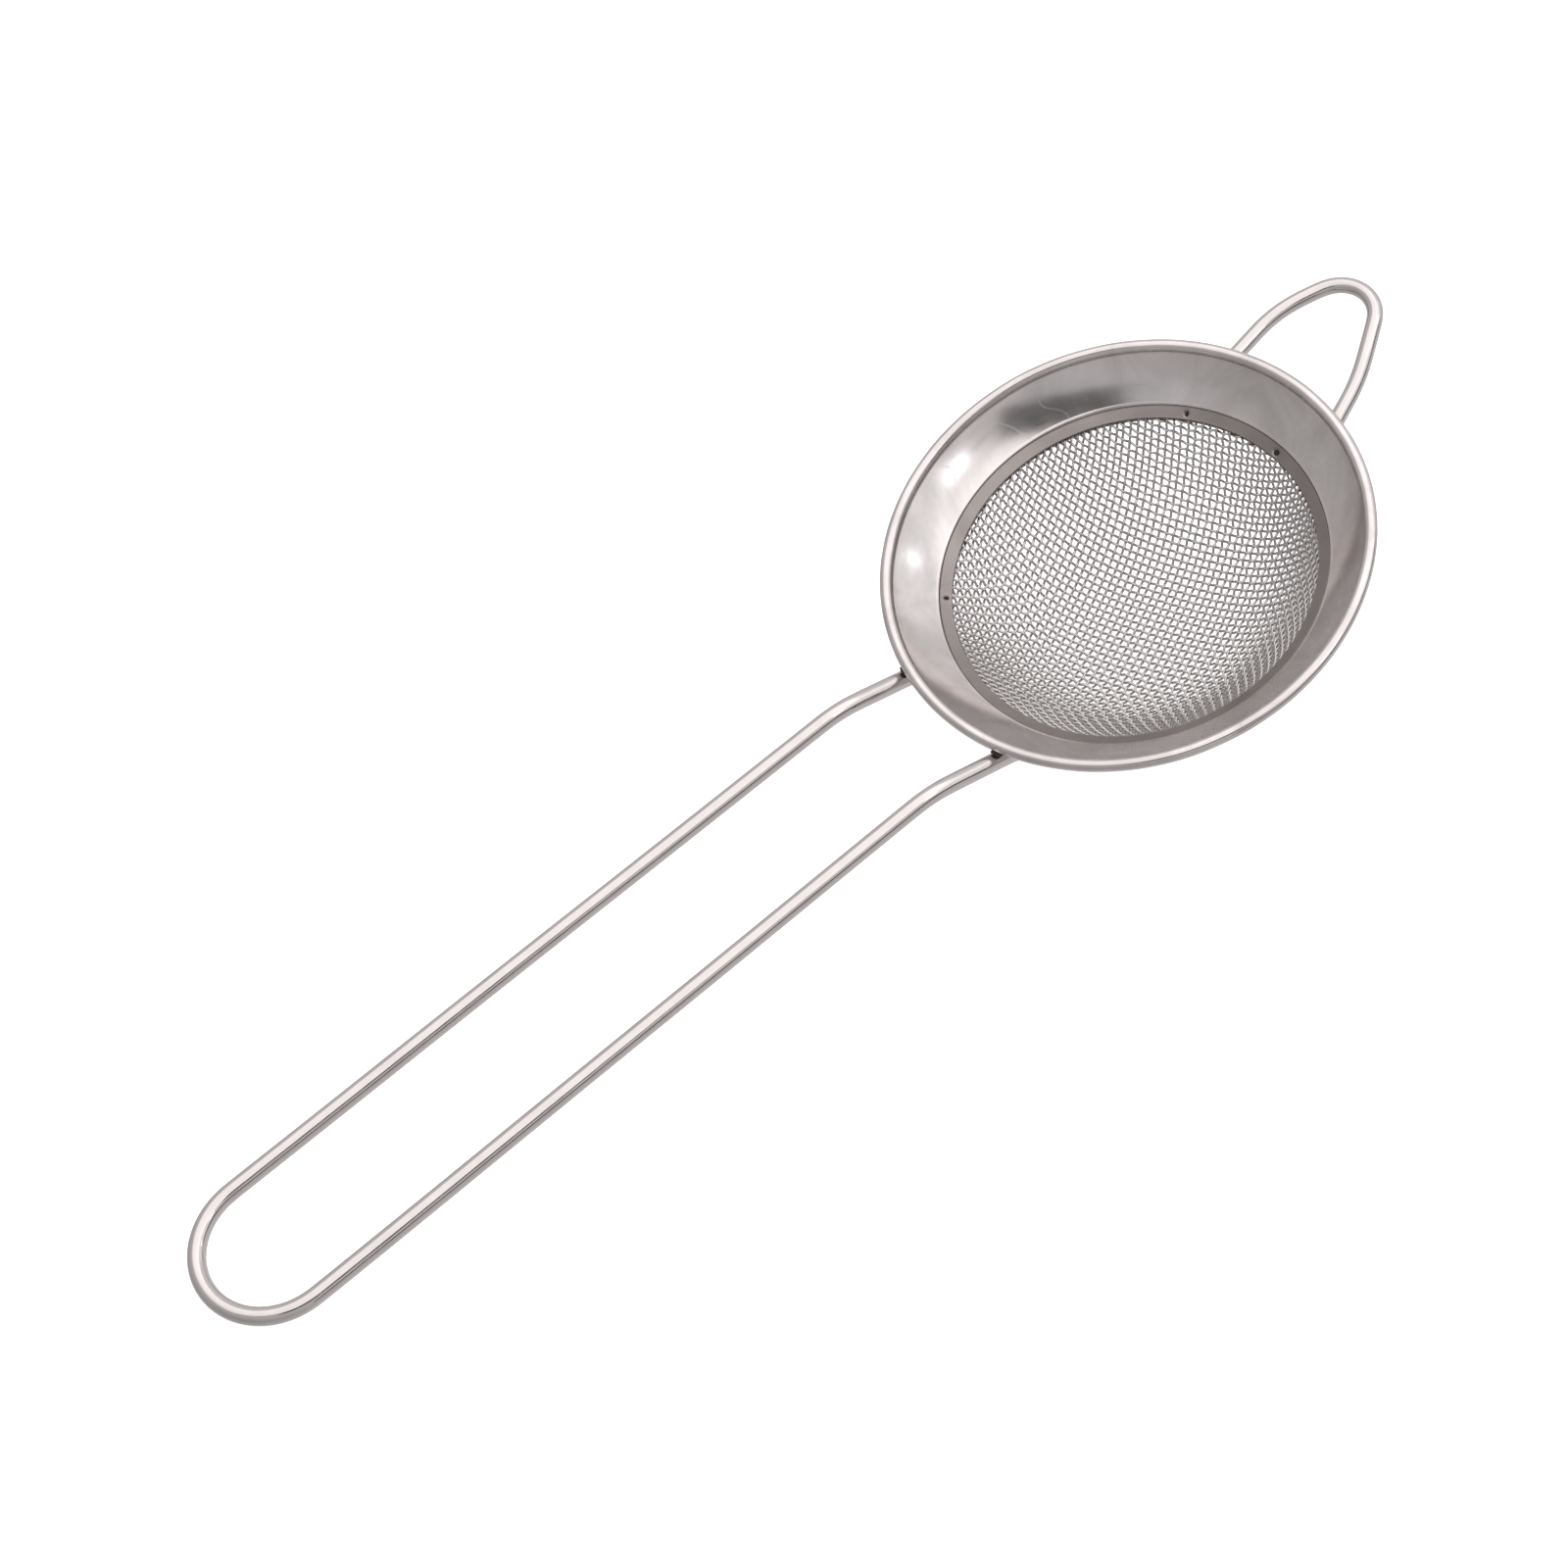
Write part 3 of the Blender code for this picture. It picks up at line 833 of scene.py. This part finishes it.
def along_root(label, radius):
    """Where a leg's root crosses a circle about the bowl's axis."""
    y = EAR_ROOTS[label]
    return math.sqrt(radius ** 2 - y ** 2), y


def ear_leg(label, reach):
    """One leg from its weld out to the tip; it was bent by hand, so the two legs are not alike."""
    x, y = along_root(label, EAR_INNER_RADIUS)
    corners = [
        (x, y, under_cone(x, y, EAR_WIRE)),
        (*along_root(label, EAR_BEND_RADIUS), EAR_LEVEL),
        (*EAR_SHOULDERS[label], EAR_LEVEL),
        tuple(on_tip(tip_tangent(label))),
    ]
    return soften(corners, (1.6 * MM, reach), 14)


def turned(x, y):
    """Swing a place in the ear's own plan round to where the ear was welded on."""
    c, s = math.cos(EAR_TURN), math.sin(EAR_TURN)
    return x * c - y * s, x * s + y * c


def ear_path():
    arc = np.linspace(tip_tangent("left"), tip_tangent("right"), 44)[1:-1]
    flat = np.array(ear_leg("left", 5.0 * MM) + [on_tip(a) for a in arc] + ear_leg("right", 4.0 * MM)[::-1])
    x, y = turned(flat[:, 0], flat[:, 1])
    return np.column_stack([x, y, flat[:, 2]])


ear = bent_wire("ear_bent_wire", ear_path(), EAR_WIRE, wire_finish, lambda t: 0.0 * t)
seat(ear, "rest_ear_wire", "rest_ear_wire")

# %% [markdown]
# ## Spot welds
# Where a wire lies along the underside of the cone, two quick welds squeeze a little metal into
# the gap and leave a dull, heat-browned nugget. Each nugget is a small flattened ball whose
# surface is pushed about by noise, so no two look alike.

# %% The weld nuggets


def weld_finish():
    """Dull remelted steel with a straw and brown bloom round it."""
    material, tree, shader = new_finish("weld_nugget", (0.40, 0.35, 0.31), 0.5)
    place = add(tree, "ShaderNodeTexCoord").outputs["Object"]
    bloom = add(tree, "ShaderNodeTexNoise", Scale=1600.0, Detail=4.0)
    tree.links.new(place, bloom.inputs["Vector"])
    browned = tone(tree, bloom.outputs[0], (0.24, 0.18, 0.14), (0.56, 0.52, 0.49))
    tree.links.new(browned, shader.inputs["Base Color"])
    tree.links.new(spread(tree, bloom.outputs[0], 0.38, 0.62), shader.inputs["Roughness"])
    bump = add(tree, "ShaderNodeBump", Strength=0.5, Distance=0.00004)
    tree.links.new(bloom.outputs[0], bump.inputs["Height"])
    tree.links.new(bump.outputs[0], shader.inputs["Normal"])
    return material


nugget_finish = weld_finish()


def nugget(name, centre, size, turn, seed):
    """A lumpy flattened ball leaning with the cone."""
    bm = bmesh.new()
    bmesh.ops.create_icosphere(bm, subdivisions=4, radius=1.0)
    lean = Matrix.Rotation(turn, 3, "Z") @ Matrix.Rotation(-CONE_ANGLE, 3, "Y")
    for vert in bm.verts:
        lump = 1.0 + 0.16 * noise.noise(vert.co * 1.7 + Vector((seed, seed * 0.3, 0.0)))
        p = Vector((vert.co.x * size[0], vert.co.y * size[1], vert.co.z * size[2])) * lump
        vert.co = lean @ p + Vector(centre)
    mesh = bpy.data.meshes.new(name)
    bm.to_mesh(mesh)
    bm.free()
    mesh.polygons.foreach_set("use_smooth", [True] * len(mesh.polygons))
    mesh.materials.append(nugget_finish)
    obj = bpy.data.objects.new(name, mesh)
    bpy.context.scene.collection.objects.link(obj)
    return obj


def weld_at(name, x, y, wire_radius, node, seed):
    z = under_cone(x, y, wire_radius) + wire_radius * math.cos(CONE_ANGLE)
    turn = math.atan2(y, x)
    out = wire_radius * math.sin(CONE_ANGLE)
    centre = (x - out * math.cos(turn), y - out * math.sin(turn), z)
    return seat(nugget(name, centre, (1.0 * MM, 0.85 * MM, 0.42 * MM), turn, seed), node)


weld_at("weld_handle_left", -HANDLE_INNER - 1.0 * MM, HANDLE_HALF_NEAR, HANDLE_WIRE, "handle_wire", 1.0)
weld_at("weld_handle_right", -HANDLE_INNER - 1.0 * MM, -HANDLE_HALF_NEAR, HANDLE_WIRE, "handle_wire", 2.0)
for label, seed in (("left", 3.0), ("right", 4.0)):
    x, y = turned(*along_root(label, EAR_INNER_RADIUS + 1.2 * MM))
    weld_at("weld_ear_" + label, x, y, EAR_WIRE, "rest_ear_wire", seed)

# %% [markdown]
# Where each handle leg slips under the bead there is a narrow crevice that lies in deep shadow. A small flat
# black blob in each crevice is painted shadow that stands in for that shade.

# %% Painted shadow under the bead


def painted_shadow_finish():
    """Painted shadow: matt black blobs, a little brown in random places."""
    material, tree, shader = new_finish("painted_crevice_shadow", (0.02, 0.018, 0.016), 0.8)
    shader.inputs["Metallic"].default_value = 0.0
    place = add(tree, "ShaderNodeTexCoord").outputs["Object"]
    shadow_grain = add(tree, "ShaderNodeTexNoise", Scale=3000.0, Detail=4.0)
    tree.links.new(place, shadow_grain.inputs["Vector"])
    tree.links.new(tone(tree, shadow_grain.outputs[0], (0.006, 0.005, 0.005), (0.05, 0.042, 0.036)),
                   shader.inputs["Base Color"])
    bump = add(tree, "ShaderNodeBump", Strength=0.6, Distance=0.00005)
    tree.links.new(shadow_grain.outputs[0], bump.inputs["Height"])
    tree.links.new(bump.outputs[0], shader.inputs["Normal"])
    return material


painted_shadow = painted_shadow_finish()
# Each blob is painted shadow in the crevice where a handle leg meets the bead.
for label, side, seed in (("left", 1.0, 5.0), ("right", -1.0, 6.0)):
    y = side * HANDLE_HALF_NEAR
    x = -math.sqrt((RIM_RADIUS - 0.15 * MM) ** 2 - y ** 2)
    size = (0.55 * MM, 1.0 * MM, 0.36 * MM)
    shadow_blob = nugget("residue_" + label, (x, y, -1.0 * MM), size, math.atan2(y, x), seed)
    shadow_blob.data.materials[0] = painted_shadow
    seat(shadow_blob, "handle_wire")
    print("painted_shadow", label, "at mm:", round(x / MM, 1), round(y / MM, 1))

# %% The same painted shade in the pinch hollows of the clamp ring
SPECKS = ((-3.0, 0.20, 0.42), (30.0, 0.40, 0.15), (139.0, 0.30, 0.18))
# Black specks of painted shade deepen the hollows of the pinches.
for number, (pinch, across, along) in enumerate(SPECKS):
    a = math.radians(pinch)
    place = (PINCH_RADIUS * math.cos(a), PINCH_RADIUS * math.sin(a), -6.62 * MM)
    size = (across * MM, along * MM, 0.16 * MM)
    speck = nugget("residue_speck_" + str(number), place, size, a, 7.0 + number)
    speck.data.materials[0] = painted_shadow
    seat(speck, "clamp_ring")
print("specks:", len(SPECKS))

# %% [markdown]
# ## Table, light and camera
# Polished steel shows its surroundings more than itself, so the room is what gives it its greys.
# The table comes first. It glows faintly, so that it stays an even white, and it is left out of
# reflections, so that the undersides of the wires can stay grey.

# %% The pale table
TABLE_HALF_SIZE = 3.0
TABLE_WHITE = 0.92
TABLE_GLOW = 0.62
TABLE_DROP = 0.2 * MM


def flat_card(name, half_size, colour, glow):
    """A square card with a plain matt finish that may glow a little."""
    mesh = bpy.data.meshes.new(name)
    s = half_size
    mesh.from_pydata([(-s, -s, 0.0), (s, -s, 0.0), (s, s, 0.0), (-s, s, 0.0)], [], [(0, 1, 2, 3)])
    material = bpy.data.materials.new(name)
    material.use_nodes = True
    shader = material.node_tree.nodes["Principled BSDF"]
    shader.inputs["Base Color"].default_value = (colour, colour, colour, 1.0)
    shader.inputs["Roughness"].default_value = 0.9
    shader.inputs["Specular IOR Level"].default_value = 0.0
    shader.inputs["Emission Color"].default_value = (1.0, 1.0, 1.0, 1.0)
    shader.inputs["Emission Strength"].default_value = glow
    mesh.materials.append(material)
    card = bpy.data.objects.new(name, mesh)
    bpy.context.scene.collection.objects.link(card)
    return card


table = flat_card("table", TABLE_HALF_SIZE, TABLE_WHITE, TABLE_GLOW)
table.location.z = -TABLE_DROP
table.visible_glossy = False
print("table size m:", tuple(table.dimensions))

# %% [markdown]
# The room is grey near the table, brighter to the right and brightest overhead, where a big soft
# ceiling light puts the long pale strip on every wire. A ramp over the height of the direction
# looked in gives the greys, and the sideways part of that direction brightens them to the right.

# %% The room, brighter overhead
world = bpy.data.worlds.new("room")
bpy.context.scene.world = world
world.use_nodes = True
backdrop = world.node_tree.nodes["Background"]
looking = add(world.node_tree, "ShaderNodeTexCoord").outputs["Generated"]
height_of = add(world.node_tree, "ShaderNodeSeparateXYZ")
world.node_tree.links.new(looking, height_of.inputs[0])
ramp = add(world.node_tree, "ShaderNodeValToRGB")
ROOM_GREYS = ((0.00, 0.66), (0.40, 0.54), (0.50, 0.54), (0.60, 0.62), (0.82, 0.70), (0.89, 1.42),
              (1.00, 1.36))
RIGHT_HAND_GAIN = 0.26
while len(ramp.color_ramp.elements) < len(ROOM_GREYS):
    ramp.color_ramp.elements.new(0.5)
for stop, (at, grey) in zip(ramp.color_ramp.elements, ROOM_GREYS):
    stop.position = at
    stop.color = (grey * 1.01, grey * 0.985, grey * 0.98, 1.0)
lift_height = calculate(world.node_tree, "MULTIPLY_ADD", height_of.outputs[2], 0.5)
lift_height.node.inputs[2].default_value = 0.5
world.node_tree.links.new(lift_height, ramp.inputs[0])
sideways = calculate(world.node_tree, "MULTIPLY_ADD", height_of.outputs[0], RIGHT_HAND_GAIN)
sideways.node.inputs[2].default_value = 1.0
world.node_tree.links.new(ramp.outputs[0], backdrop.inputs["Color"])
world.node_tree.links.new(sideways, backdrop.inputs["Strength"])
print("room greys from floor to ceiling:", [grey for _, grey in ROOM_GREYS])

# %% [markdown]
# A broad lamp to the right makes the glow on the cone, and two small ones make its hot spots. Two
# dark cards near the camera, a small black one and a large grey one, give the far side of the cone
# its soft dark lens. A third, low and long, draws the dark line along every wire.

# %% Lamps and dark cards
LAMP_COLOUR = (0.94, 0.965, 1.0)


def direction(azimuth, elevation):
    """Unit vector toward a place in the room; azimuth 0 is in front, 90 to the right."""
    a, e = math.radians(azimuth), math.radians(elevation)
    return Vector((math.sin(a) * math.cos(e), -math.cos(a) * math.cos(e), math.sin(e)))


def aim(obj, azimuth, elevation, distance):
    """Put a lamp or card in that direction from the bowl, facing the bowl."""
    obj.location = Vector((centre_x, 0.0, centre_z)) + direction(azimuth, elevation) * distance
    obj.rotation_euler = direction(azimuth, elevation).to_track_quat("Z", "Y").to_euler()


def lamp(name, azimuth, elevation, distance, width, height, brightness):
    """A soft rectangular lamp; brightness is what its face shows, so its power grows with its area."""
    data = bpy.data.lights.new(name, "AREA")
    data.shape = "RECTANGLE"
    data.size = width
    data.size_y = height
    data.energy = brightness * math.pi * width * height
    data.color = LAMP_COLOUR
    obj = bpy.data.objects.new(name, data)
    bpy.context.scene.collection.objects.link(obj)
    aim(obj, azimuth, elevation, distance)
    return obj


lamp("broad_lamp", 62.0, 36.0, 0.9, 1.05, 0.40, 0.26)
lamp("hot_lamp_near", 25.0, 41.0, 0.8, 0.15, 0.09, 2.2)
lamp("hot_lamp_far", 71.0, 33.5, 0.8, 0.05, 0.09, 2.8)


def dark_flag(name, azimuth, elevation, distance, width, height, grey):
    """A dark card that only shows in reflections, as a studio flag does."""
    card = flat_card(name, 0.5, 0.02, grey)
    card.scale = (width, height, 1.0)
    aim(card, azimuth, elevation, distance)
    card.visible_camera = False
    card.visible_diffuse = False
    card.visible_shadow = False
    return card


dark_flag("flag_by_camera", -33.0, 43.0, 0.75, 0.60, 0.19, 0.09)
dark_flag("flag_behind_camera", -58.0, 38.0, 0.95, 1.25, 0.42, 0.54)
dark_flag("flag_on_table", 28.0, 11.0, 0.80, 1.40, 0.17, 0.0)

# %% [markdown]
# The camera looks down on the strainer from the front left, a little rolled, with a long lens. Its
# back and right directions are enough to build its turn, because the third is their cross product.

# %% The camera
CAMERA_PLACE = Vector((-171.416, -260.005, 410.701)) * MM
CAMERA_BACK = Vector((-0.33257, -0.52807, 0.78137))
CAMERA_RIGHT = Vector((0.78055, -0.61913, -0.08619))
CAMERA_FILM = 36.0
CAMERA_LENS = 79.21


def set_camera():
    data = bpy.data.cameras.new("camera")
    data.sensor_width = CAMERA_FILM
    data.lens = CAMERA_LENS
    data.clip_start = 0.01
    obj = bpy.data.objects.new("camera", data)
    bpy.context.scene.collection.objects.link(obj)
    back = CAMERA_BACK.normalized()
    up = back.cross(CAMERA_RIGHT).normalized()
    right = up.cross(back)
    turn = Matrix((right, up, back)).transposed().to_4x4()
    obj.matrix_world = Matrix.Translation(CAMERA_PLACE) @ turn
    bpy.context.scene.camera = obj
    return obj


set_camera()
bpy.context.scene.view_settings.view_transform = "Standard"
